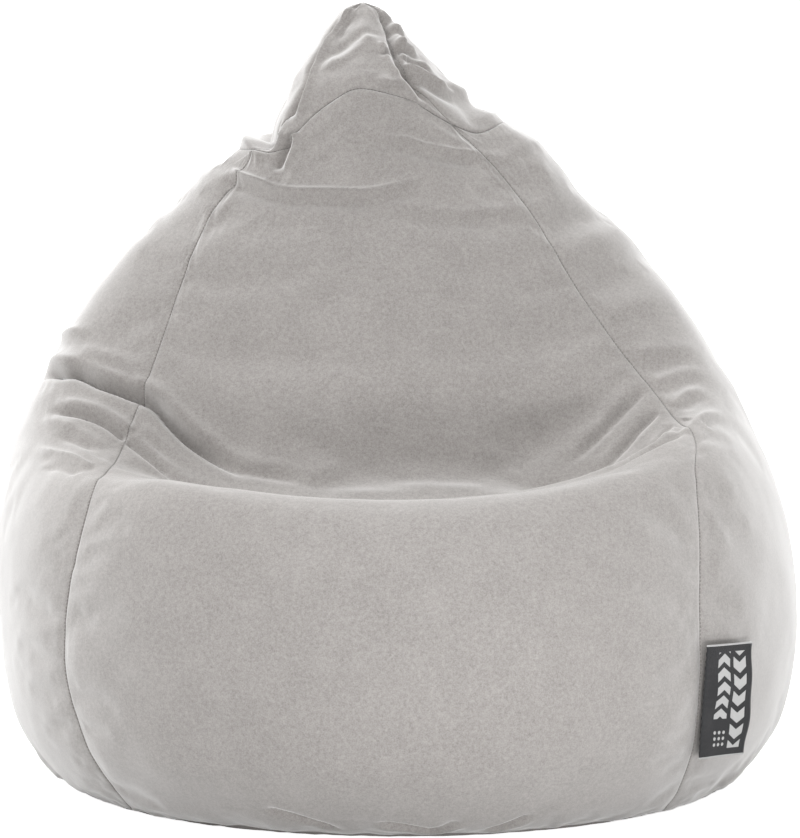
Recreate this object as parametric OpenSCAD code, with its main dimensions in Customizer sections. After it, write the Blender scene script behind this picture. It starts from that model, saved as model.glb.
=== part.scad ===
// Bean bag chair: pear-shaped cover with a seat hollow, a crumpled peak, a back zip,
// a woven side label, and a zipped liner full of beads inside.
// Frame: +Z up, front faces -Y, origin on the floor under the middle of the base.

/* [Bag] */
// belly width from side to side
bag_width = 798; // [760:2:840]
// how far the front bulge reaches ahead of the middle
front_reach = 409; // [398:1:420]
// height of the front rim of the seat
rim_height = 338; // [330:1:346]
// height of the lowest part of the seat
seat_height = 300; // [290:1:306]
// how far the front rim and seat sag in the middle
seat_sag = 27; // [16:1:32]
// height of the peak
peak_height = 768; // [752:1:790]
// lean of the upper part to the left
lean = 16; // [0:1:24]

/* [Cloth] */
// thickness of the cover cloth
cover_t = 2; // [1.4:0.1:2.2]
// thickness of the liner cloth
liner_t = 1; // [0.6:0.1:1.2]
// gap between neighbouring cloth layers
layer_gap = 1.5; // [1.2:0.1:1.8]
// thickness of the base panel
base_t = 2.2; // [1.6:0.1:2.4]
// gap between the edge of the base panel and its seam
base_in = 14; // [10:1:20]

/* [Back zip] */
// angle of the lower end of the zip on the back arc
zip_low = -28; // [-30:1:-20]
// angle of the upper end of the zip on the back arc
zip_high = 45; // [40:1:46]
// half width of the opening the zip shows in
slot_half = 13; // [11:0.5:15]
// width of each zip tape
tape_w = 15.5; // [14:0.5:17]
// length of the pull tab
pull_l = 27; // [20:1:32]

/* [Side label] */
// width of the label out from its seam
label_w = 62; // [48:1:68]
// height of the label along its seam
label_h = 112; // [90:1:120]
// thickness of the folded label
label_t = 1.2; // [0.8:0.1:1.6]
// how far the label stands off the side, in degrees
label_lift = 5; // [4:1:12]

/* [Hidden] */

$fn = 48;
cloth_c = [0.69, 0.67, 0.655];
liner_c = [0.93, 0.93, 0.92];
tape_c = [0.60, 0.58, 0.57];
coil_c = [0.52, 0.50, 0.49];
metal_c = [0.62, 0.62, 0.63];
label_c = [0.25, 0.25, 0.255];

// back arc that the zip follows
arc_y = 130;
arc_z = 245;
arc_r = 300;
function on_arc(e, r = arc_r) = [arc_y + r * cos(e), arc_z + r * sin(e)];

dr = rim_height - 338;
ds = seat_height - 300;
dp = (peak_height - 768) / 6;

// rows of the three profiles, from the base seam (0) past the neck seam (14) to the peak (20)
// front: [reach ahead of the middle, height]
FRONT = [[340, 0], [362, 20], [front_reach - 13, 72], [front_reach, 140],
    [front_reach - 6, 212], [front_reach - 28, 282 + dr / 2], [336, 338 + dr],
    [276, 330 + (dr + ds) / 2], [204, 300 + ds], [150, 326 + ds / 2], [114, 396], [84, 470],
    [58, 548], [36, 622], [20, 684],
    [6, 704 + dp], [-10, 722 + 2 * dp], [-26, 738 + 3 * dp], [-42, 752 + 4 * dp],
    [-54, 762 + 5 * dp], [-59, 768 + 6 * dp]];
// side: [half width, distance of the widest point behind the middle, height]
kw = bag_width / 798;
SIDE = [[336, 0, 0], [358 * kw, 0, 20], [383 * kw, 0, 62], [396 * kw, 0, 122],
    [399 * kw, 0, 186], [394 * kw, 2, 248], [381 * kw, 6, 304], [363 * kw, 12, 354],
    [341 * kw, 20, 402], [314 * kw, 30, 446], [280 * kw, 40, 492], [241 * kw, 50, 538],
    [198 * kw, 58, 580], [150, 64, 618], [103, 68, 650],
    [87, 68, 676 + dp], [71, 67, 700 + 2 * dp], [54, 66, 722 + 3 * dp],
    [36, 64, 743 + 4 * dp], [18, 63, 759 + 5 * dp], [4, 62, 768 + 6 * dp]];
// back: [reach behind the middle, height]
BACK = [[318, 0], on_arc(-47), on_arc(-34), on_arc(-21), on_arc(-10), on_arc(1), on_arc(12),
    on_arc(23), on_arc(34), on_arc(44), on_arc(53), [262, 528], [222, 576], [186, 616], [158, 650],
    [144, 676 + dp], [128, 700 + 2 * dp], [111, 722 + 3 * dp], [94, 743 + 4 * dp],
    [77, 759 + 5 * dp], [66, 768 + 6 * dp]];
// angle of the front seams at each row, left and right
SEAM_L = [49, 49, 51, 53, 52, 49, 47, 47, 49, 50, 51, 54, 58, 54, 40, 41, 42, 44, 42, 38, 32];
SEAM_R = [48, 48, 47, 46, 46, 48, 51, 55, 56, 56, 53, 50, 48, 44, 30, 25, 25, 28, 34, 38, 40];
seam_back = 126;
neck = 14;
peak = 20;
step = 0.5;
front_cols = 13;
side_cols = 10;
back_cols = 7;

// smooth curve through a list of rows
function at(L, v) =
    let (n = len(L) - 1, w = max(0, min(n, v)), i = min(n - 1, floor(w)), f = w - i,
         a = L[max(0, i - 1)], b = L[i], c = L[i + 1], d = L[min(n, i + 2)])
    (b * 2 + (c - a) * f + (a * 2 - b * 5 + c * 4 - d) * f * f
        + (b * 3 - a - c * 3 + d) * f * f * f) / 2;
function ease(a, b, x) = let (t = max(0, min(1, (x - a) / (b - a)))) t * t * (3 - 2 * t);
function off(th) = let (m = th - 360 * floor(th / 360)) m > 180 ? 360 - m : m;
// sideways lean of the spine; the back stays straight where the zip runs
function lean_at(th, z) =
    -lean * ease(140, 430, z) * (1 - ease(120, 165, off(th)) * (1 - ease(480, 620, z)))
    - 20 * ease(540, 770, z);
// the rim and seat sag in the middle and rise a little towards the right arm
function sag(th, v) =
    let (m = th - 360 * floor((th + 180) / 360), k = exp(-pow((v - 6.6) / 1.6, 2)),
         g = abs(m) < 90 ? max(0, 1 - pow(sin(m) / 0.76, 2)) : 0)
    k * (12 * ease(24, 54, m) * (1 - ease(58, 88, m)) - 14 * ease(30, 54, -m) * (1 - ease(60, 88, -m))
        - seat_sag * pow(g, 1.2));
// point of the cover's outer face at turn th (0 = front, 90 = right) and row v
function skin(th, v) =
    let (f = at(FRONT, v), s = at(SIDE, v), b = at(BACK, v), a = off(th), c = cos(th),
         w = a <= 90 ? 1 - ease(22, 86, a) : ease(90, 170, a),
         z = s[2] + ((a <= 90 ? f[1] : b[1]) - s[2]) * w,
         y = a <= 90 ? s[1] - (s[1] + f[0]) * c : s[1] - (b[0] - s[1]) * c)
    [s[0] * sin(th) + lean_at(th, z), y, z + sag(th, v)];
function unit(p) = p / max(1e-9, norm(p));
// the same point, t in from the outer face
function layer(th, v, t) =
    let (u = skin(th + 1.5, v) - skin(th - 1.5, v),
         w = skin(th, min(peak, v + 0.08)) - skin(th, max(0, v - 0.08)))
    skin(th, v) + unit(cross(w, u)) * t;

// half width of the zip opening at row v, and the turn of its edge
function slot(v) = 1 + (slot_half - 1) * max(0, min(1, min((v - 2) / step, (9.5 - v) / step)));
function slot_turn(v) = asin(min(1, slot(v) / at(SIDE, v)[0]));
function seam_l(v) = at(SEAM_L, v);
function seam_r(v) = at(SEAM_R, v);

// one sewn panel: a shell between turns A(v) and B(v), rows v0 to v1
sew = 0.25;
function edge_gap(v) = sew / max(4, at(SIDE, v)[0]) * 57.3;
function span(k, v) =
    k == "front" ? [-seam_l(v), seam_r(v)]
    : k == "right" ? [seam_r(v), seam_back]
    : k == "back_right" ? [seam_back, 180 - slot_turn(v)]
    : k == "back_left" ? [180 + slot_turn(v), 360 - seam_back]
    : k == "back" ? [seam_back, 360 - seam_back]
    : [360 - seam_back, 360 - seam_l(v)];
function thin(v, t) = t * (1 - 0.6 * ease(19, 20, v));

module panel(k, cols, v0, v1, t, lift = 0) {
    rows = round((v1 - v0) / step);
    R = [for (i = [0 : rows]) let (v = v0 + (v1 - v0) * i / rows, e = edge_gap(v),
            s = span(k, v), vv = i == 0 ? v + 0.004 : i == rows ? v - 0.004 : v)
        for (j = [0 : cols]) let (th = s[0] + e + (s[1] - s[0] - 2 * e) * j / cols)
            [th, vv]];
    n = cols + 1;
    m = len(R);
    pts = concat([for (q = R) layer(q[0], q[1], 0) + [0, 0, lift * (1 - min(1, q[1] * 2))]],
        [for (q = R) layer(q[0], q[1], thin(q[1], t)) + [0, 0, lift * (1 - min(1, q[1] * 2))]]);
    faces = concat(
        [for (i = [0 : rows - 1], j = [0 : cols - 1]) each [
            [i * n + j, (i + 1) * n + j, (i + 1) * n + j + 1],
            [i * n + j, (i + 1) * n + j + 1, i * n + j + 1]]],
        [for (i = [0 : rows - 1], j = [0 : cols - 1]) each [
            [m + i * n + j, m + (i + 1) * n + j + 1, m + (i + 1) * n + j],
            [m + i * n + j, m + i * n + j + 1, m + (i + 1) * n + j + 1]]],
        [for (i = [0 : rows - 1], j = [0, cols]) let (a = i * n + j, b = a + n, f = j == 0)
            each (f ? [[a, m + a, m + b], [a, m + b, b]] : [[a, b, m + b], [a, m + b, m + a]])],
        [for (j = [0 : cols - 1], i = [0, rows]) let (a = i * n + j, b = a + 1, f = i == 0)
            each (f ? [[a, b, m + b], [a, m + b, m + a]] : [[a, m + a, m + b], [a, m + b, b]])]);
    polyhedron(points = pts, faces = faces, convexity = 10);
}

// all turns of one closed ring at row v
function run(s, n) = [for (j = [0 : n - 1]) s[0] + (s[1] - s[0]) * j / n];
function ring(v) = concat(run(span("front", v), front_cols), run(span("right", v), side_cols),
    run(span("back_right", v), back_cols), run([180 - slot_turn(v), 180 + slot_turn(v)], 1),
    run(span("back_left", v), back_cols), run(span("left", v), side_cols));
// extra room behind the zip for the two sliders
zip_room = 11;
function room(th, v) = zip_room * (off(th) > 180 - slot_turn(v) - 0.01 ? 1 : 0)
    * max(0, min(1, min((v - 1.5) / step, (10 - v) / step)));

// a closed bag t inside the cover, its floor at height zb, its top at row v1
module bag(t, zb, v1) {
    rows = round(v1 / step);
    n = len(ring(0));
    pts = concat([for (i = [0 : rows]) let (v = v1 * i / rows, T = ring(v))
            for (th = T) let (p = layer(th, v, t + room(th, v)))
                [p[0], p[1], i == 0 ? zb : max(zb + 1, p[2])]],
        [[0, 0, zb], let (a = layer(0, v1, t), b = layer(180, v1, t))
            [(a[0] + b[0]) / 2, (a[1] + b[1]) / 2, (a[2] + b[2]) / 2 - 4]]);
    c = (rows + 1) * n;
    faces = concat(
        [for (i = [0 : rows - 1], j = [0 : n - 1]) let (a = i * n + j, b = i * n + (j + 1) % n)
            each [[a, a + n, b + n], [a, b + n, b]]],
        [for (j = [0 : n - 1]) let (a = j, b = (j + 1) % n) [a, b, c]],
        [for (j = [0 : n - 1]) let (a = rows * n + j, b = rows * n + (j + 1) % n) [b, a, c + 1]]);
    polyhedron(points = pts, faces = faces, convexity = 10);
}

// a strip swept along the back arc from angle e0 to e1; its section is [radius, across]
module along(e0, e1) {
    translate([0, arc_y, arc_z]) rotate([0, 90, 0]) rotate([0, 0, 90 + e0])
        rotate_extrude(angle = e1 - e0) children();
}
// a block placed on the arc at angle e: x across, y along the zip downwards, z outwards
module on(e, r) {
    translate([0, arc_y + r * cos(e), arc_z + r * sin(e)]) rotate([e - 90, 0, 0]) children();
}

// ---- cover ----
module front_panel() color(cloth_c) panel("front", front_cols, 0, neck, cover_t, 0.6);
module right_side_panel() color(cloth_c) panel("right", side_cols, 0, neck, cover_t, 0.6);
module left_side_panel() color(cloth_c) panel("left", side_cols, 0, neck, cover_t, 0.6);
module back_right_panel() color(cloth_c) panel("back_right", back_cols, 0, neck, cover_t, 0.6);
module back_left_panel() color(cloth_c) panel("back_left", back_cols, 0, neck, cover_t, 0.6);
module base_panel() color(cloth_c) linear_extrude(base_t) polygon([for (th = [0 : 3.75 : 359])
    let (p = skin(th, 0), r = norm([p[0], p[1]])) [p[0], p[1]] * (1 - base_in / r)]);
module tip_front_gore() color(cloth_c) panel("front", front_cols, neck, peak, cover_t);
module tip_right_gore() color(cloth_c) panel("right", side_cols, neck, peak, cover_t);
module tip_left_gore() color(cloth_c) panel("left", side_cols, neck, peak, cover_t);
module tip_back_gore() color(cloth_c) panel("back", 2 * back_cols, neck, peak, cover_t);

// ---- back zip ----
tape_r = arc_r - 4.6;
tape_t = 0.8;
coil_in = 0.9;
coil_w = 1.7;
coil_r = tape_r + tape_t + 0.3;
coil_t = 1.8;
module zip_tape_left() color(tape_c) along(zip_low - 1.5, zip_high + 1.5)
    translate([tape_r, -coil_in - tape_w]) square([tape_t, tape_w]);
module zip_tape_right() color(tape_c) along(zip_low - 1.5, zip_high + 1.5)
    translate([tape_r, coil_in]) square([tape_t, tape_w]);
module zip_coil_left() color(coil_c) along(zip_low, zip_high)
    translate([coil_r, -coil_in - coil_w]) square([coil_t, coil_w]);
module zip_coil_right() color(coil_c) along(zip_low, zip_high)
    translate([coil_r, coil_in]) square([coil_t, coil_w]);
module zip_stop(e0, e1) along(e0, e1) translate([coil_r, -3.2]) square([coil_t + 0.6, 6.4]);
module zip_top_stop() color(coil_c) zip_stop(zip_high + 0.1, zip_high + 0.7);
module zip_bottom_stop() color(coil_c) zip_stop(zip_low - 1.1, zip_low - 0.1);

slider_at = zip_high - 2.4;
slider_half = 1.55;
top_r = coil_r + coil_t + 0.4;
top_t = 1.2;
low_r = tape_r - 0.5 - 1.1;
bridge_r = top_r + top_t;
pin_r = bridge_r + 2.0;
module zip_slider() color(metal_c) {
    e0 = slider_at - slider_half;
    e1 = slider_at + slider_half;
    // outer plate with its side flanges
    along(e0, e1) translate([top_r, -5.2]) square([top_t, 10.4]);
    for (s = [-5.2, 4.2]) along(e0, e1)
        translate([tape_r + tape_t + 0.3, s]) square([top_r - tape_r - tape_t, 1]);
    // inner plate
    along(e0, e1) translate([low_r, -4.6]) square([1.1, 9.2]);
    // thin post between the two rows of teeth
    along(slider_at, e1) translate([low_r + 0.3, -0.5]) square([top_r - low_r, 1]);
    // bridge the pull hangs from
    difference() {
        along(e0 + 0.35, e1 - 0.35) translate([bridge_r - 0.4, -1.2]) square([4.7, 2.4]);
        along(e0 + 0.75, e1 - 0.75) translate([bridge_r + 0.8, -1.3]) square([2.5, 2.6]);
    }
}
module zip_pull() color(metal_c) on(slider_at, pin_r) {
    rotate([0, 90, 0]) cylinder(r = 0.85, h = 8, center = true);
    for (s = [-1, 1]) translate([s * 3.4 - 0.6, 0, -0.7]) cube([1.2, 9, 1.4]);
    difference() {
        translate([-4, 8.5, -0.7]) cube([8, pull_l - 8.5, 1.4]);
        translate([0, pull_l - 4, -1]) cylinder(r = 1.6, h = 2);
    }
}

// ---- woven label in the right front seam ----
label_row = 2.75;
function seam_point(v) = skin(seam_r(v), v);
label_low = seam_point(label_row - 0.8);
label_high = seam_point(label_row + 0.8);
label_mid = seam_point(label_row);
label_up = unit(label_high - label_low);
label_side = unit(skin(seam_r(label_row) + 2, label_row) - label_mid);
label_out = unit(cross(label_side, label_up));
label_off = 3.2;
module side_label() color(label_c) {
    c = cos(label_lift);
    s = sin(label_lift);
    x = label_side * c + label_out * s;
    z = label_up;
    y = unit(cross(z, x));
    o = label_mid + label_out * label_off;
    multmatrix([[x[0], y[0], z[0], o[0]], [x[1], y[1], z[1], o[1]], [x[2], y[2], z[2], o[2]],
                [0, 0, 0, 1]])
        translate([0, -label_t / 2, -label_h / 2]) cube([label_w, label_t, label_h]);
}

// ---- inside ----
liner_in = cover_t + layer_gap;
fill_in = liner_in + liner_t + layer_gap;
liner_floor = base_t + 1.2;
module inner_liner() color(liner_c) difference() {
    bag(liner_in, liner_floor, neck);
    bag(liner_in + liner_t, liner_floor + liner_t, neck - 0.1);
}
module bead_filling() color([0.98, 0.98, 0.97])
    bag(fill_in, liner_floor + liner_t + layer_gap, neck - 0.5);
liner_tape_r = arc_r - 13.6;
module liner_zip_tape() color(liner_c) along(zip_low, zip_high)
    translate([liner_tape_r, -11]) square([0.8, 22]);
module liner_zip_coil() color(coil_c) along(zip_low, zip_high)
    translate([liner_tape_r + 1.1, -2.2]) square([1.9, 4.4]);
module liner_zip_slider() color(coil_c) {
    along(slider_at - 1.3, slider_at + 1.3) translate([liner_tape_r + 3.3, -4]) square([0.9, 8]);
    for (s = [-4, 2.8]) along(slider_at - 1.3, slider_at + 1.3)
        translate([liner_tape_r + 1.1, s]) square([2.6, 1.2]);
}

front_panel();
left_side_panel();
right_side_panel();
back_left_panel();
back_right_panel();
base_panel();
tip_front_gore();
tip_left_gore();
tip_right_gore();
tip_back_gore();
zip_tape_left();
zip_tape_right();
zip_coil_left();
zip_coil_right();
zip_top_stop();
zip_bottom_stop();
zip_slider();
zip_pull();
side_label();
inner_liner();
liner_zip_tape();
liner_zip_coil();
liner_zip_slider();
bead_filling();
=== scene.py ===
import math

import bpy
import numpy as np
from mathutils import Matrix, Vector


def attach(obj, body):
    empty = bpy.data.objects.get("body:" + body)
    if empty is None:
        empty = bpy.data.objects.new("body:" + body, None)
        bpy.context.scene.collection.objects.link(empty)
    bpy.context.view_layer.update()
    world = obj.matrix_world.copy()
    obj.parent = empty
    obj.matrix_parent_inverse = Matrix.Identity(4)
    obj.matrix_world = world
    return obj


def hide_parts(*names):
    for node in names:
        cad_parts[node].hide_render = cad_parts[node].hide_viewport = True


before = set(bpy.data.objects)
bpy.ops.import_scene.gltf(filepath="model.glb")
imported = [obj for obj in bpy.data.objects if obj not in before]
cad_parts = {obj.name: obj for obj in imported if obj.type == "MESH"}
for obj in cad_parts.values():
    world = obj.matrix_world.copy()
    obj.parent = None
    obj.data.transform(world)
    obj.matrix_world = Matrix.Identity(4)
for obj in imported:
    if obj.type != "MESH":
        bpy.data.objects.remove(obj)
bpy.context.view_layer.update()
scene = bpy.context.scene
MM = 0.001

# ---------------------------------------------------------------- camera
eye_height, eye_back, look_height = 0.772, 3.978, 0.3535
camera_data = bpy.data.cameras.new("camera")
camera_data.sensor_fit = "HORIZONTAL"
camera_data.sensor_width = 36
camera_data.lens = 180
camera = bpy.data.objects.new("camera", camera_data)
scene.collection.objects.link(camera)
camera.location = (0.001, -eye_back, eye_height)
camera.rotation_euler = (math.atan2(eye_back, eye_height - look_height), 0, 0)
scene.camera = camera
scene.view_settings.view_transform = "Standard"

# ---------------------------------------------------------------- shape of the filled bag, in mm
# Rows run up the bag: 0 is the base seam, the neck seam lies at 13 to 14, and 20 is the tip of the peak.
# Turns run round it in degrees: 0 in front, 90 at the right, 180 behind, -90 at the left.
TOP_ROW = 20
NECK_ROW = 13.6
# the back follows an arc along the zip, seen from the side
ARC_Y, ARC_Z, ARC_R = 130, 245, 300


def on_arc(angle):
    a = math.radians(angle)
    return (ARC_Y + ARC_R * math.cos(a), ARC_Z + ARC_R * math.sin(a))


# reach ahead of the middle, height
FRONT = np.array([
    (340, 0), (362, 20), (396, 72), (409, 140), (403, 212), (381, 282), (336, 338), (276, 330),
    (204, 300), (150, 326), (114, 396), (84, 470), (58, 548), (36, 622), (20, 684), (6, 704),
    (-10, 722), (-26, 738), (-42, 752), (-54, 762), (-59, 768)], float)
# half width, how far back the widest point lies, height
SIDE = np.array([
    (336, 0, 0), (358, 0, 20), (383, 0, 62), (396, 0, 122), (399, 0, 186), (394, 2, 248),
    (381, 6, 304), (363, 12, 354), (341, 20, 402), (314, 30, 446), (280, 40, 492), (241, 50, 538),
    (198, 58, 580), (150, 64, 618), (103, 68, 650), (87, 68, 676), (71, 67, 700), (54, 66, 722),
    (36, 64, 743), (18, 63, 759), (4, 62, 768)], float)
# reach behind the middle, height
BACK = np.array([(318, 0)] + [on_arc(a) for a in (-47, -34, -21, -10, 1, 12, 23, 34, 44, 53)] + [
    (262, 528), (222, 576), (186, 616), (158, 650), (144, 676), (128, 700), (111, 722), (94, 743),
    (77, 759), (66, 768)], float)
# turn of the two front seams at each row
SEAM_LEFT = np.array([49, 49, 51, 53, 52, 49, 47, 47, 49, 50, 51, 54, 58, 54, 40, 41, 42, 44, 42,
                      38, 32], float)[:, None]
SEAM_RIGHT = np.array([48, 48, 47, 46, 46, 48, 51, 55, 56, 56, 53, 50, 48, 44, 30, 25, 25, 28, 34,
                       38, 40], float)[:, None]
SEAM_BACK = 126
# row that the neck seam reaches at each turn
NECK = [(-180, 13.8), (-126, 13.5), (-75, 13.1), (-55, 13.0), (-42, 13.0), (-30, 13.5), (-8, 14.0),
        (8, 13.9), (22, 13.75), (35, 13.45), (50, 13.35), (75, 13.5), (126, 13.6), (180, 13.8)]


def curve(rows, v):
    """Smooth curve through the rows at v, which may be an array."""
    n = len(rows) - 1
    w = np.clip(v, 0, n)
    i = np.minimum(w.astype(int), n - 1)
    f = (w - i)[..., None]
    a, b, c, d = (rows[np.clip(i + k, 0, n)] for k in (-1, 0, 1, 2))
    return (b * 2 + (c - a) * f + (a * 2 - b * 5 + c * 4 - d) * f * f + (b * 3 - a - c * 3 + d) * f ** 3) / 2


def ease(low, high, x):
    """0 below low, 1 above high, and smooth between them."""
    t = np.clip((x - low) / (high - low), 0, 1)
    return t * t * (3 - 2 * t)


def from_front(turn):
    """How far a turn is from the front, 0 to 180 degrees."""
    m = np.mod(turn, 360)
    return np.where(m > 180, 360 - m, m)


def sag(turn, row):
    """The rim and seat sag in the middle, and rise a little towards the right arm."""
    m = np.mod(turn + 180, 360) - 180
    middle = np.where(abs(m) < 90, np.maximum(0, 1 - (np.sin(np.radians(m)) / 0.76) ** 2), 0)
    right_arm = 12 * ease(24, 54, m) * (1 - ease(58, 88, m))
    left_arm = 14 * ease(30, 54, -m) * (1 - ease(60, 88, -m))
    return np.exp(-(((row - 6.6) / 1.6) ** 2)) * (right_arm - left_arm - 27 * middle ** 1.2)


def bag_point(turn, row):
    """Point of the filled cover at a turn in degrees and a row, without its folds."""
    turn, row = np.broadcast_arrays(np.asarray(turn, float), np.asarray(row, float))
    f, s, b = curve(FRONT, row), curve(SIDE, row), curve(BACK, row)
    a, c = from_front(turn), np.cos(np.radians(turn))
    ahead = a <= 90
    w = np.where(ahead, 1 - ease(22, 86, a), ease(90, 170, a))
    z = s[..., 2] + (np.where(ahead, f[..., 1], b[..., 1]) - s[..., 2]) * w
    y = np.where(ahead, s[..., 1] - (s[..., 1] + f[..., 0]) * c, s[..., 1] - (b[..., 0] - s[..., 1]) * c)
    straight = ease(120, 165, a) * (1 - ease(480, 620, z))
    # the bag leans a little to the left, more so at the peak
    x = s[..., 0] * np.sin(np.radians(turn)) - 16 * ease(140, 430, z) * (1 - straight)
    x = x - 20 * ease(540, 770, z)
    return np.stack([x, y, z + sag(turn, row)], -1)


def unit(p):
    """The same directions, one long."""
    return p / np.maximum(np.linalg.norm(p, axis=-1, keepdims=True), 1e-9)


def bag_out(turn, row):
    """Outward direction of the cover there."""
    turn, row = np.broadcast_arrays(np.asarray(turn, float), np.asarray(row, float))
    across = bag_point(turn + 1, row) - bag_point(turn - 1, row)
    up = bag_point(turn, np.minimum(TOP_ROW, row + 0.06)) - bag_point(turn, np.maximum(0, row - 0.06))
    return unit(np.cross(across, up))


def neck_row(turn):
    """Row of the neck seam at a turn, with its corners rounded."""
    t = np.mod(np.asarray(turn, float) + 180, 360) - 180
    xs, ys = zip(*NECK)
    return sum(np.interp(t + d, xs, ys) for d in (-5, -2.5, 0, 2.5, 5)) / 5


# ---------------------------------------------------------------- folds of the cover
def fold(line, deep, wide, ends, crisp=1, lip=0, gap=20):
    """line: turns and rows along the fold; deep: mm in (or out, below 0) at the line; wide: mm; ends: parts
    of the length over which it fades out; crisp: the width on the side away from the lip, as a part of
    wide; lip: mm that the cloth swells beside it, at gap mm above (gap > 0) or below it."""
    return dict(line=line, deep=deep, wide=wide, ends=ends, crisp=crisp, lip=lip, gap=gap)


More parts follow.
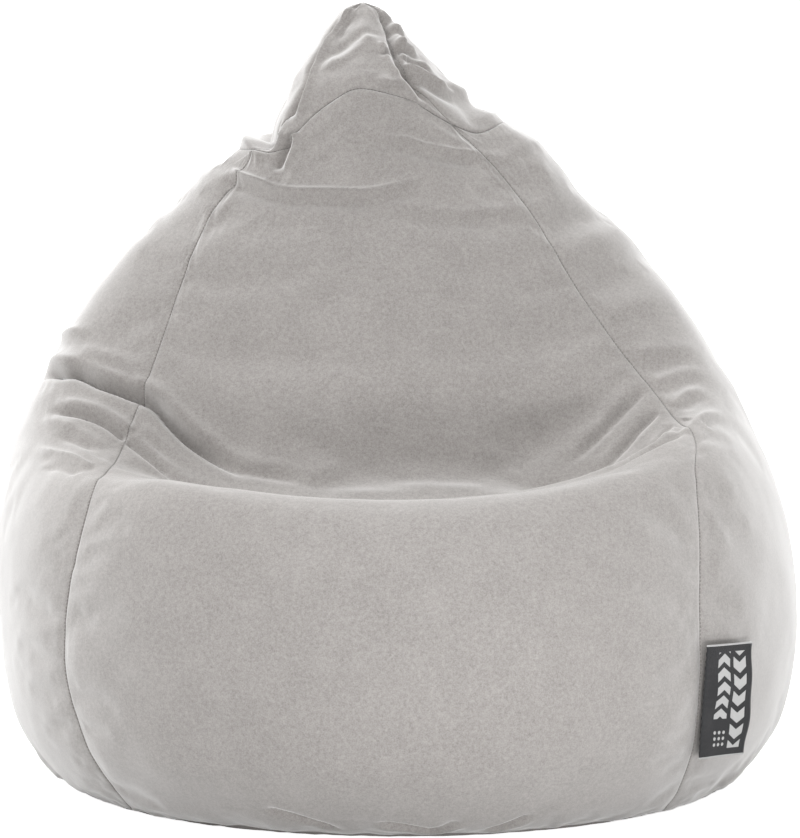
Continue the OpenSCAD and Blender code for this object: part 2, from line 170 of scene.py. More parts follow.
FOLDS = [
    # the deep fold from the left side over the seam and down into the seat
    fold([(-92, 7.7), (-83, 8.0), (-74, 8.3), (-68, 8.6), (-61, 8.8), (-55, 9.0), (-48, 9.17), (-43, 9.1),
          (-39, 9.02), (-32, 8.88), (-23, 8.6)], 20, 8, (0.2, 0.28), crisp=0.4, lip=7, gap=15),
    fold([(-75, 8.62), (-65, 9.0), (-57, 9.25), (-51, 9.35)], 4, 6, (0.3, 0.2), lip=3, gap=12),
    fold([(-32, 8.85), (-25, 8.78), (-18, 8.7), (-11, 8.55)], 4, 8, (0.4, 0.5), crisp=0.5, lip=2, gap=15),
    # the shorter folds of the left arm
    fold([(-72, 7.6), (-67, 7.8), (-63, 8.0), (-58, 8.2), (-54, 8.3), (-49, 8.32)], 9, 7, (0.35, 0.1),
         crisp=0.35, lip=5, gap=12),
    fold([(-74, 7.35), (-66, 7.62), (-59, 7.85)], -4, 7, (0.5, 0.3), gap=9),
    fold([(-66, 7.35), (-59, 7.5), (-52, 7.6)], 4, 8, (0.4, 0.3), crisp=0.6, lip=3, gap=13),
    fold([(-72, 6.85), (-63, 7.0), (-56, 7.05), (-50, 6.9)], -5, 6, (0.4, 0.1), crisp=0.6, lip=-2,
         gap=-11),
    fold([(-92, 8.7), (-82, 8.95), (-72, 9.25)], -5, 9, (0.3, 0.4), crisp=0.6, lip=-3, gap=-15),
    fold([(-66, 6.45), (-59, 6.6), (-52, 6.5)], 3, 6, (0.4, 0.2), lip=2, gap=10),
    fold([(-50, 8.3), (-46, 8.28), (-40, 8.15), (-34, 7.9)], 6, 6, (0.1, 0.5), crisp=0.4, lip=3, gap=12),
    fold([(-49, 8.6), (-43, 8.55), (-36, 8.3)], 3, 5, (0.2, 0.5), lip=2, gap=10),
    # folds of the right arm and seat
    fold([(56, 9.0), (49, 8.97), (43, 8.9), (37, 8.8), (30, 8.65)], 4, 5, (0.12, 0.5), crisp=0.6, lip=1.5,
         gap=11),
    fold([(55, 8.45), (49, 8.42), (43, 8.32), (37, 8.15)], 4, 4, (0.12, 0.4), crisp=0.6, lip=1, gap=9),
    fold([(55, 7.85), (51, 7.8), (46, 7.5)], 3, 4, (0.15, 0.4), crisp=0.7, lip=1, gap=8),
    fold([(54, 7.4), (49, 7.3), (45, 7.3), (41, 7.2), (37, 7.0), (33, 6.8), (28, 6.6)], 5, 4, (0.08, 0.5),
         lip=4, gap=-10),
    fold([(54, 7.3), (59, 7.48), (64, 7.5), (71, 7.35)], -4, 6, (0.08, 0.5), lip=-2, gap=-11),
    fold([(57, 8.3), (63, 8.3), (70, 8.0)], -4, 7, (0.2, 0.5), lip=-2, gap=-12),
    fold([(56, 9.0), (61, 8.85), (67, 8.65), (75, 8.3)], -4, 8, (0.15, 0.5), lip=-2, gap=-14),
    fold([(56, 9.6), (63, 9.3), (71, 8.95), (79, 8.6)], -4, 11, (0.15, 0.5), lip=-2, gap=-20),
    # soft pulls across the upper right side
    fold([(54, 10.2), (64, 10.1), (78, 9.7)], -3, 15, (0.2, 0.5), lip=-2, gap=28),
    fold([(50, 11.2), (62, 11.3), (78, 11.1)], -3, 14, (0.2, 0.5), lip=-2, gap=26),
    # soft ridges below the neck
    fold([(-64, 12.7), (-56, 12.62), (-46, 12.57), (-34, 12.5), (-20, 12.5), (-4, 12.5), (10, 12.62),
          (20, 12.75)], -6, 5, (0.08, 0.3), crisp=0.5, lip=-5, gap=-13),
    fold([(-8, 12.4), (8, 12.3), (24, 12.2), (48, 12.15)], -3, 7, (0.3, 0.3), lip=-2, gap=-12),
    fold([(-36, 13.3), (-34.5, 13.1), (-35, 12.9), (-36, 12.68)], -6, 5, (0.1, 0.25), gap=12),
    fold([(-39.5, 13.25), (-39, 13.05), (-39.5, 12.85), (-41, 12.7)], 11, 8, (0.05, 0.25)),
    fold([(-100, 13.42), (-88, 13.4), (-76, 13.33), (-64, 13.18), (-54, 13.0), (-45, 12.92)], -8, 8,
          (0.3, 0.12)),
    fold([(-128, 13.75), (-100, 13.72), (-80, 13.66), (-66, 13.5), (-54, 13.25), (-45, 13.15)], 19, 14,
          (0.4, 0.08), crisp=0.6),
    fold([(-116, 13.0), (-100, 13.05), (-84, 12.97), (-72, 12.85)], 15, 15, (0.3, 0.25)),
    fold([(-120, 15.0), (-96, 14.95), (-76, 14.9), (-60, 14.9)], 6, 16, (0.3, 0.3)),
    fold([(52, 13.6), (68, 13.7), (84, 13.75), (104, 13.75), (124, 13.7)], -13, 30, (0.25, 0.3)),
    fold([(52, 12.9), (68, 12.95), (84, 12.95), (104, 12.95), (124, 12.9)], -13, 45, (0.25, 0.3)),
    fold([(56, 14.9), (76, 14.9), (96, 15.0)], -7, 16, (0.3, 0.3)),
    fold([(0, 13.25), (12, 13.2), (21, 13.1), (34, 13.02), (46, 13.0)], -4, 5, (0.3, 0.2), crisp=0.6,
         lip=-3, gap=-11),
    # the peak: ridge seams, cross fold and dents
    fold([(-37, 13.5), (-37, 14.2), (-38, 15.2), (-38, 16.2), (-38, 17.2), (-36, 18.3), (-30, 19.2)], -6,
         4.5, (0.1, 0.1), gap=10),
    fold([(-43, 13.5), (-43, 14.2), (-44, 15.2), (-45, 16.2), (-47, 17.2), (-46, 18.3)], 7, 4.5,
          (0.1, 0.2), gap=10),
    fold([(-38, 14.6), (-28, 15.0), (-16, 15.5), (-4, 16.1), (4, 16.35), (12, 16.2), (20, 15.8)], -2.5, 8,
          (0.3, 0.3), crisp=0.6, lip=-3, gap=13),
    fold([(4, 16.3), (0, 17.2), (-6, 18.2)], -4, 8, (0.2, 0.5), gap=10),
    fold([(-22, 18.6), (-24, 17.4), (-28, 16.2)], 3, 7, (0.3, 0.4), gap=10),
    fold([(30, 13.7), (27, 14.2), (22.5, 15.2), (23, 15.8), (25, 16.6), (33, 17.7), (40, 18.6)], 8, 5,
          (0.12, 0.2), crisp=0.6, lip=5, gap=-9),
    fold([(24, 15.2), (32, 14.9), (40, 14.8), (50, 14.65), (66, 14.55)], -7, 5, (0.12, 0.4), crisp=0.5,
         lip=-5, gap=-13),
    fold([(26, 16.5), (38, 16.3), (54, 16.2)], -6, 6, (0.2, 0.4), crisp=0.6, lip=-4, gap=-11),
    fold([(30, 15.8), (42, 15.65), (56, 15.4)], -4, 4, (0.2, 0.4), lip=-3, gap=-8),
    fold([(34, 17.6), (46, 17.5), (60, 17.3)], -5, 5, (0.2, 0.4), lip=-4, gap=-9),
    fold([(38, 18.6), (52, 18.4), (66, 18.2)], -3, 4, (0.2, 0.4), lip=-2, gap=-7),
    fold([(5, 14.3), (14, 14.15), (22, 14.2)], -4, 5, (0.3, 0.3), lip=-3, gap=-8),
    # puckers above the base seam
    fold([(-20, 1.3), (-14, 1.0), (-8, 0.5)], 5, 4, (0.15, 0.3), crisp=0.8, lip=1, gap=9),
    fold([(-4, 1.0), (1, 0.85), (7, 0.5)], 5, 4, (0.3, 0.3), crisp=0.5, lip=2, gap=-8),
    fold([(9, 1.05), (7, 0.8), (4, 0.5)], 4, 4, (0.3, 0.3), lip=2, gap=-8),
    fold([(20, 1.15), (17, 0.85), (13, 0.5)], 5, 4, (0.3, 0.3), crisp=0.5, lip=2, gap=-8),
]
BACK_FOLDS = [
    fold([(100, 12.9), (118, 12.6), (140, 12.5), (160, 12.7)], 5, 12, (0.3, 0.3), lip=4, gap=-24),
    fold([(-104, 12.7), (-124, 12.3), (-146, 12.4)], 6, 12, (0.3, 0.3), lip=4, gap=-24),
    fold([(150, 13.6), (152, 15.0), (158, 16.6), (166, 18.0)], 6, 8, (0.2, 0.3), lip=3, gap=14),
    fold([(-150, 13.7), (-150, 15.2), (-156, 17.0)], 6, 8, (0.2, 0.3), lip=3, gap=-14),
    fold([(-90, 13.4), (-96, 14.6), (-104, 16.0)], 5, 8, (0.2, 0.3), lip=3, gap=14),
    fold([(96, 13.6), (92, 15.0), (88, 16.6)], 5, 8, (0.2, 0.3), lip=3, gap=14),
    fold([(62, 0.4), (68, 1.0), (72, 1.7)], 5, 8, (0.1, 0.5), lip=4, gap=14),
    fold([(96, 0.4), (99, 1.1), (100, 1.9)], 5, 9, (0.1, 0.5), lip=4, gap=14),
    fold([(-70, 0.4), (-74, 1.0), (-76, 1.8)], 5, 8, (0.1, 0.5), lip=4, gap=14),
    fold([(-112, 0.4), (-114, 1.1), (-113, 2.0)], 5, 9, (0.1, 0.5), lip=4, gap=14),
    fold([(146, 0.4), (143, 1.1), (142, 1.9)], 5, 9, (0.1, 0.5), lip=4, gap=14),
    fold([(108, 7.4), (122, 7.9), (136, 8.2)], 4, 16, (0.3, 0.4), lip=3, gap=30),
    fold([(-106, 7.0), (-120, 7.7), (-134, 7.9)], 5, 16, (0.3, 0.4), lip=3, gap=30),
]


FOLD_STEPS = 5


def fold_path(line):
    """Points along a fold on the smooth cover, and the outward direction at each."""
    pts = np.array(line, float)
    p = curve(pts, np.linspace(0, len(pts) - 1, (len(pts) - 1) * FOLD_STEPS + 1))
    return bag_point(p[:, 0], p[:, 1]), bag_out(p[:, 0], p[:, 1])


def add_folds(points, out, folds):
    """How far each point moves along its outward direction for all the folds."""
    move = np.zeros(points.shape[:-1])
    for each in folds:
        w, gap = each["wide"], each["gap"]
        path, normal = fold_path(each["line"])
        reach = 3.2 * w + abs(gap) * 2
        near = np.all((points > path.min(0) - reach) & (points < path.max(0) + reach), axis=-1)
        if not near.any():
            continue
        p = points[near]
        best = np.full(len(p), 1e9)
        side = np.zeros(len(p))
        along = np.zeros(len(p))
        lengths = np.linalg.norm(np.diff(path, axis=0), axis=1)
        total, start = lengths.sum(), 0.0
        for i, step in enumerate(lengths):
            a, d = path[i], (path[i + 1] - path[i]) / step
            t = np.clip((p - a) @ d, 0, step)
            q = p - (a + t[:, None] * d)
            r = np.linalg.norm(q, axis=1)
            closer = r < best
            best[closer] = r[closer]
            upward = np.cross(normal[i], d)
            upward *= 1 if upward[2] >= 0 else -1
            side[closer] = (q @ upward)[closer]
            along[closer] = ((start + t) / total)[closer]
            start += step
        facing = (out[near] * normal[len(normal) // 2]).sum(-1) > -0.2
        away = np.sign(side) == (-1 if gap > 0 else 1)
        d = -each["deep"] * np.exp(-(best / np.where(away, w * each["crisp"], w)) ** 1.4)
        swell = np.exp(-(((side - gap) / (0.55 * abs(gap))) ** 2))
        past_end = np.maximum(best - abs(side), 0)
        d += each["lip"] * swell * np.exp(-(past_end / w) ** 2)
        first, last = each["ends"]
        d *= ease(0, first, along) * ease(0, last, 1 - along) * facing
        move[near] += d
    return move


TABLE = 32
random_table = np.random.RandomState(7).rand(TABLE, TABLE, TABLE) * 2 - 1


def cloud(points, size, shift=0):
    """Smooth random field of one lump size, in mm, between about -1 and 1."""
    q = points / size + shift * 7.31 + 100
    i = np.floor(q).astype(int)
    f = q - i
    f = f * f * (3 - 2 * f)
    value = 0
    for dx in (0, 1):
        for dy in (0, 1):
            for dz in (0, 1):
                w = ((f[..., 0] if dx else 1 - f[..., 0]) * (f[..., 1] if dy else 1 - f[..., 1])
                     * (f[..., 2] if dz else 1 - f[..., 2]))
                x, y, z = ((i[..., axis] + d) % TABLE for axis, d in enumerate((dx, dy, dz)))
                value = value + w * random_table[x, y, z]
    return value


def cloth_point(turn, row):
    """The cover with its folds and its gentle lumps, and the outward direction."""
    p, out = bag_point(turn, row), bag_out(turn, row)
    move = add_folds(p, out, FOLDS + BACK_FOLDS)
    # the cloth lies quieter at the base seam and along the zip
    quiet = ease(0, 1.2, row) * np.where(from_front(turn) > 172, 0.2, 1)
    move += quiet * (2.2 * cloud(p, 95, 1) + 1.2 * cloud(p, 46, 2) + 0.4 * cloud(p, 21, 3))
    move += 3 * np.exp(-(((row - 18.9) / 0.8) ** 2))
    hem_gather = 1 - ease(0.1, 1.7, row)
    move += hem_gather * 1.5 * cloud(p * (1, 1, 0.25), 17, 9)
    peak_lumps = 2.2 * cloud(p, 26, 4) + 1.2 * cloud(p, 12, 5)
    move += ease(NECK_ROW, 15, row) * peak_lumps * (1 - ease(19, TOP_ROW, row))
    return p + out * move[..., None], out


# ---------------------------------------------------------------- panels
# the opening for the zip, in mm from the middle of the back, and the bare seam above and below it
SLOT_HALF, SEAM_HALF = 13, 0.6
SLOT_LOW, SLOT_HIGH, SLOT_END = 2, 9.5, 0.5


def slot_turn(row):
    """Turn from the middle of the back to the edge of a back panel."""
    opened = np.clip(np.minimum((row - SLOT_LOW) / SLOT_END, (SLOT_HIGH - row) / SLOT_END), 0, 1)
    half = SEAM_HALF + (SLOT_HALF - SEAM_HALF) * opened
    return np.degrees(np.arcsin(np.minimum(1, half / curve(SIDE, row)[..., 0])))


def panel_turns(name, row):
    """Turns of a panel's two edges at a row."""
    left, right = curve(SEAM_LEFT, row)[..., 0], curve(SEAM_RIGHT, row)[..., 0]
    back, slot = np.full_like(row, SEAM_BACK), slot_turn(row)
    return {"front": (-left, right), "right": (right, back), "left": (360 - back, 360 - left),
            "back_right": (back, 180 - slot), "slot": (180 - slot, 180 + slot),
            "back_left": (180 + slot, 360 - back), "tip_front": (-left, right), "tip_right": (right, back),
            "tip_back": (back, 360 - back), "tip_left": (360 - back, 360 - left)}[name]


def crowded(n, amount):
    """n + 1 steps from 0 to 1 that crowd towards both ends."""
    u = np.linspace(0, 1, n + 1)
    return u - amount * np.sin(2 * np.pi * u) / (2 * np.pi)


# how much the points of a panel crowd towards its ends and sides
END_CROWD, SIDE_CROWD = 0.55, 0.75


def panel_grid(name, rows, cols):
    across, up = crowded(cols, SIDE_CROWD), crowded(rows, END_CROWD)
    return panel_rows(name, *np.meshgrid(up, across, indexing="ij"))


def panel_rows(name, u, t):
    """Turn and row of each point of a panel, u up it and t across it."""
    tip = name.startswith("tip")
    row = NECK_ROW + (TOP_ROW - NECK_ROW) * u if tip else NECK_ROW * u
    # the neck seam isn't level, so turns and rows are worked out in turn until they agree
    for _ in range(3):
        a, b = panel_turns(name, row)
        turn = a + (b - a) * t
        top = neck_row(turn)
        row = top + (TOP_ROW - top) * u if tip else top * u
    return turn, row


# panels once round the bag, with their columns in the settling cloth
RING = [("front", 60), ("right", 46), ("back_right", 32), ("slot", 2), ("back_left", 32), ("left", 46)]
SETTLE_ROWS, SETTLE_FRAMES = 84, 22


def smoothed(values, reach):
    """Mean over a square of the grid, which closes on itself sideways."""
    tall = np.pad(values, ((reach, reach), (0, 0)), mode="edge")
    mean = sum(tall[k:k + len(values)] for k in range(2 * reach + 1)) / (2 * reach + 1)
    return sum(np.roll(mean, k, 1) for k in range(-reach, reach + 1)) / (2 * reach + 1)


def settle_cover():
    """The cover as cloth, pushed out by the beads and gathered by its seams, in a cloth simulation.
    Gives the wrinkles that it makes at each point of an even grid of every panel, in mm outwards."""
    outs, points = [], []
    for name, cols in RING:
        u, t = np.meshgrid(np.linspace(0, 1, SETTLE_ROWS + 1), np.linspace(0, 1, cols + 1), indexing="ij")
        turn, row = panel_rows(name, u, t)
        p, out = cloth_point(turn, row)
        points.append(p[:, :-1])
        outs.append(out[:, :-1])
    ring, ring_out = np.concatenate(points, 1), np.concatenate(outs, 1)
    rows, cols = ring.shape[:2]
    i, j = np.meshgrid(np.arange(rows - 1), np.arange(cols), indexing="ij")
    a, b = i * cols + j, i * cols + (j + 1) % cols
    faces = np.stack([a, b, b + cols, a + cols], -1).reshape(-1, 4)
    flat = ring.reshape(-1, 3) * MM
    mesh = bpy.data.meshes.new("settling")
    mesh.from_pydata(flat.tolist(), [], faces.tolist())
    cloth_object = bpy.data.objects.new("settling", mesh)
    scene.collection.objects.link(cloth_object)
    edges = np.cumsum([0] + [c for _, c in RING])
    near_seam = np.minimum.reduce([np.abs(np.arange(cols) - e) for e in edges])
    held = cloth_object.vertex_groups.new(name="held")
    gathered = cloth_object.vertex_groups.new(name="gathered")
    slot_from, slot_to = edges[3] - 2, edges[4] + 2
    slack = 0.035
    for r in range(rows):
        for c in range(cols):
            fixed = r < 2 or r > rows - 3 or slot_from <= c <= slot_to
            held.add([r * cols + c], 1.0 if fixed else slack, "REPLACE")
            if near_seam[c] < 2:
                gathered.add([r * cols + c], 1.0 - 0.4 * near_seam[c], "REPLACE")
    cloth = cloth_object.modifiers.new("cloth", "CLOTH")
    c = cloth.settings
    c.quality, c.mass, c.air_damping = 5, 0.25, 4.0
    c.tension_stiffness, c.compression_stiffness, c.shear_stiffness, c.bending_stiffness = 22, 22, 6, 1.2
    c.use_pressure, c.uniform_pressure_force = True, 4
    c.vertex_group_mass = "held"
    c.pin_stiffness = 1.0
    c.vertex_group_shrink = "gathered"
    c.shrink_min, c.shrink_max = -0.02, 0.06
    c.effector_weights.gravity = 0
    cloth.collision_settings.use_collision = False
    cloth.point_cache.frame_start, cloth.point_cache.frame_end = 1, SETTLE_FRAMES
    for f in range(1, SETTLE_FRAMES + 1):
        scene.frame_set(f)
    settled = cloth_object.evaluated_get(bpy.context.evaluated_depsgraph_get()).to_mesh()
    after = np.empty(len(settled.vertices) * 3)
    settled.vertices.foreach_get("co", after)
    scene.frame_set(1)
    bpy.data.objects.remove(cloth_object)
    bpy.data.meshes.remove(mesh)
    move = ((after.reshape(-1, 3) - flat).reshape(rows, cols, 3) / MM * ring_out).sum(-1)
    # only the small wrinkles are kept, not the broad bulge under them
    wrinkles = 0.38 * np.clip(move - smoothed(smoothed(move, 7), 5), -9, 9)
    wrinkles = np.concatenate([wrinkles, wrinkles[:, :1]], 1)
    return {name: wrinkles[:, edges[k]:edges[k + 1] + 1] for k, (name, _) in enumerate(RING)}


settled = settle_cover()


def settled_move(name, rows, cols):
    """The settled cloth's wrinkles on a crowded panel grid."""
    if name not in settled:
        return np.zeros((rows + 1, cols + 1))
    down = curve(settled[name], crowded(rows, END_CROWD) * SETTLE_ROWS)
    return curve(down.T, crowded(cols, SIDE_CROWD) * (down.shape[1] - 1)).T


def stitched(name, turn, row):
    """Cloth points of a panel with its seams pulled in, the way out, the mm across and up the cloth, and
    the mm to the nearest seam and along it."""
    p, out = cloth_point(turn, row)
    p = p + out * settled_move(name, turn.shape[0] - 1, turn.shape[1] - 1)[..., None]
    step_across = np.linalg.norm(np.diff(p, axis=1), axis=2)
    step_up = np.linalg.norm(np.diff(p, axis=0), axis=2)
    across = np.concatenate([np.zeros((len(p), 1)), np.cumsum(step_across, 1)], 1)
    up = np.concatenate([np.zeros((1, p.shape[1])), np.cumsum(step_up, 0)], 0)
    sides = np.minimum(across, across[:, -1:] - across)
    ends = np.minimum(up, up[-1:] - up)
    seam = np.minimum(sides, ends)
    run = np.where(sides < ends, up, across)
    pucker = cloud(np.stack([run, sides * 0.3, ends * 0.3], -1), 13, 6)
    pucker = pucker + 0.6 * cloud(np.stack([run, seam, run * 0], -1), 7, 8)
    move = -1.2 * np.exp(-seam / 1.2) - 0.8 * np.exp(-(seam / 8) ** 2)
    move += pucker * (1.1 * np.exp(-seam / 14) - 0.7 * np.exp(-seam / 3))
    p = p + out * move[..., None]
    # the four pieces of the peak meet in a point
    point = (bag_point(0, TOP_ROW) + bag_point(180, TOP_ROW)) / 2
    p += (point - p) * 0.94 * ease(TOP_ROW - 0.3, TOP_ROW, row)[..., None]
    return p, out, across, up, seam, run


def grid_faces(rows, cols):
    """Faces of a grid of rows by cols cells, as a grid of points holds them."""
    i, j = np.meshgrid(np.arange(rows), np.arange(cols), indexing="ij")
    a = (i * (cols + 1) + j).ravel()
    return np.stack([a, a + 1, a + cols + 2, a + cols + 1], -1)


def mesh_object(name, points, faces, material, uv=None, values=None):
    """A smooth piece from points in metres; values become attributes that its cloth reads."""
    mesh = bpy.data.meshes.new(name)
    mesh.from_pydata(points.tolist(), [], faces.tolist() if hasattr(faces, "tolist") else faces)
    mesh.update()
    if uv is not None:
        layer = mesh.uv_layers.new(name="cloth")
        loops = np.empty(len(mesh.loops), int)
        mesh.loops.foreach_get("vertex_index", loops)
        layer.data.foreach_set("uv", uv[loops].astype(np.float32).ravel())
    for key, value in (values or {}).items():
        attribute = mesh.attributes.new(key, "FLOAT", "POINT")
        attribute.data.foreach_set("value", value.astype(np.float32).ravel())
    mesh.polygons.foreach_set("use_smooth", [True] * len(mesh.polygons))
    mesh.materials.append(material)
    piece = bpy.data.objects.new(name, mesh)
    scene.collection.objects.link(piece)
    return piece


HEM, PEAK_HEM = 6.0, 4.0
JUST_OFF_FLOOR = 0.6


def sew_panel(name, piece_name, rows, cols, material):
    """A panel of the cover, with a hem all round that is turned in at the seams."""
    turn, row = panel_grid(name, rows, cols)
    p, out, across, up, seam, run = stitched(name, turn, row)
    # how much painted sheen each point takes: it is cut back across the front of the seat and rim, so that no
    # pale band shows along the rim
    painted_sheen_amount = 1 - 0.85 * np.exp(-(((row - 6.9) / 1.5) ** 2)) * (1 - ease(44, 72, from_front(turn)))

    def hem(a):
        a = np.concatenate([a[:1], a, a[-1:]], 0)
        return np.concatenate([a[:, :1], a, a[:, -1:]], 1)

    q, o, s, r = hem(p), hem(out), hem(seam), hem(run)
    uv = np.stack([hem(across - across[:, -1:] / 2), hem(up)], -1) * MM
    tuck = np.zeros(q.shape[:2])
    tuck[0], tuck[-1], tuck[:, 0], tuck[:, -1] = 1, 1, 1, 1
    depth = PEAK_HEM if name.startswith("tip") else HEM
    q = q - o * (tuck * depth)[..., None]
    s = s - tuck * depth
    q[..., 2] = np.maximum(q[..., 2], JUST_OFF_FLOOR)
    # the brushed attribute carries the painted sheen amount to the cloth finish
    values = {"seam": s.ravel(), "run": r.ravel(), "brushed": hem(painted_sheen_amount).ravel()}
    return mesh_object(piece_name, q.reshape(-1, 3) * MM, grid_faces(rows + 2, cols + 2), material,
                       uv.reshape(-1, 2), values)


# ---------------------------------------------------------------- finishes
def new_group(name, inputs, outputs):
    """An empty node group with named sockets."""
    group = bpy.data.node_groups.new(name, "ShaderNodeTree")
    for label, kind, value in inputs:
        socket = group.interface.new_socket(name=label, in_out="INPUT", socket_type="NodeSocket" + kind)
        if value is not None:
            socket.default_value = value
    for label, kind in outputs:
        group.interface.new_socket(name=label, in_out="OUTPUT", socket_type="NodeSocket" + kind)
    return group, group.nodes.new("NodeGroupInput"), group.nodes.new("NodeGroupOutput")


def node(tree, kind, **settings):
    """A shader node; in_NAME and in_NUMBER set its inputs, other words its properties."""
    made = tree.nodes.new("ShaderNode" + kind)
    for key, value in settings.items():
        if key.startswith("in_"):
            name = key[3:]
            made.inputs[int(name) if name.isdigit() else name.replace("_", " ")].default_value = value
        else:
            setattr(made, key, value)
    return made


def maths(tree, operation, a, b=None, c=None, clamp=False):
    """The outcome of a sum on numbers or sockets."""
    made = node(tree, "Math", operation=operation, use_clamp=clamp)
    for i, value in enumerate((a, b, c)):
        if value is None:
            continue
        if isinstance(value, (int, float)):
            made.inputs[i].default_value = value
        else:
            tree.links.new(value, made.inputs[i])
    return made.outputs[0]


# short nap: soft patches, a fine mottle and the fibre ends
nap, nap_in, nap_out = new_group(
    "short nap", [("Place", "Vector", None), ("Patches", "Float", 0.5), ("Mottle", "Float", 0.5)],
    [("Tone", "Float"), ("Height", "Float")])
patch = node(nap, "TexNoise", in_Scale=28.0, in_Detail=4.0, in_Roughness=0.6)
speckle = node(nap, "TexNoise", in_Scale=280.0, in_Detail=4.0, in_Roughness=0.7)
fibre = node(nap, "TexNoise", in_Scale=800.0, in_Detail=2.0, in_Roughness=0.6)
for tex in (patch, speckle, fibre):
    nap.links.new(nap_in.outputs["Place"], tex.inputs["Vector"])
wide = maths(nap, "MULTIPLY", maths(nap, "SUBTRACT", patch.outputs["Fac"], 0.5), nap_in.outputs["Patches"])
fine = maths(nap, "MULTIPLY", maths(nap, "SUBTRACT", speckle.outputs["Fac"], 0.5), nap_in.outputs["Mottle"])
hair = maths(nap, "MULTIPLY", maths(nap, "SUBTRACT", fibre.outputs["Fac"], 0.5), nap_in.outputs["Mottle"])
tone = maths(nap, "ADD", maths(nap, "ADD", wide, fine), maths(nap, "ADD", hair, 0.5), clamp=True)
nap.links.new(tone, nap_out.inputs["Tone"])
rise = maths(nap, "ADD", maths(nap, "MULTIPLY", speckle.outputs["Fac"], 0.6),
             maths(nap, "MULTIPLY", fibre.outputs["Fac"], 0.4))
nap.links.new(rise, nap_out.inputs["Height"])

# plain weave: warp over weft, from a cloth map in metres
weave, weave_in, weave_out = new_group(
    "plain weave", [("Cloth map", "Vector", None), ("Threads", "Float", 900.0)],
    [("Height", "Float"), ("Gaps", "Float")])
parts = node(weave, "SeparateXYZ")
weave.links.new(weave_in.outputs["Cloth map"], parts.inputs[0])
waves = []
for i in (0, 1):
    thread = maths(weave, "MULTIPLY", parts.outputs[i], weave_in.outputs["Threads"])
    waves.append(maths(weave, "SINE", maths(weave, "MULTIPLY", thread, math.tau)))
over = maths(weave, "MULTIPLY", *waves)
weave.links.new(maths(weave, "ADD", maths(weave, "MULTIPLY", over, 0.5), 0.5), weave_out.inputs["Height"])
weave.links.new(maths(weave, "POWER", maths(weave, "ABSOLUTE", over), 0.4), weave_out.inputs["Gaps"])


def finish(name, **sockets):
    """A new material with one principled shader, ready to be linked to."""
    material = bpy.data.materials.new(name)
    material.use_nodes = True
    tree = material.node_tree
    tree.nodes.clear()
    shader = node(tree, "BsdfPrincipled")
    end = node(tree, "OutputMaterial")
    tree.links.new(shader.outputs[0], end.inputs[0])
    for key, value in sockets.items():
        shader.inputs[key.replace("_", " ")].default_value = value
    return material, tree, shader


def blend_colours(tree, factor, first, second, shader):
    """Base colour that goes from the first colour to the second."""
    mix = node(tree, "Mix", data_type="RGBA")
    mix.inputs["A"].default_value = (*first, 1)
    mix.inputs["B"].default_value = (*second, 1)
    tree.links.new(factor, mix.inputs["Factor"])
    tree.links.new(mix.outputs["Result"], shader.inputs["Base Color"])
    return mix


# one stitch, its distance from the seam and half its width, in mm
STITCH_LENGTH, STITCH_IN, STITCH_HALF = 3.6, 0.9, 0.55


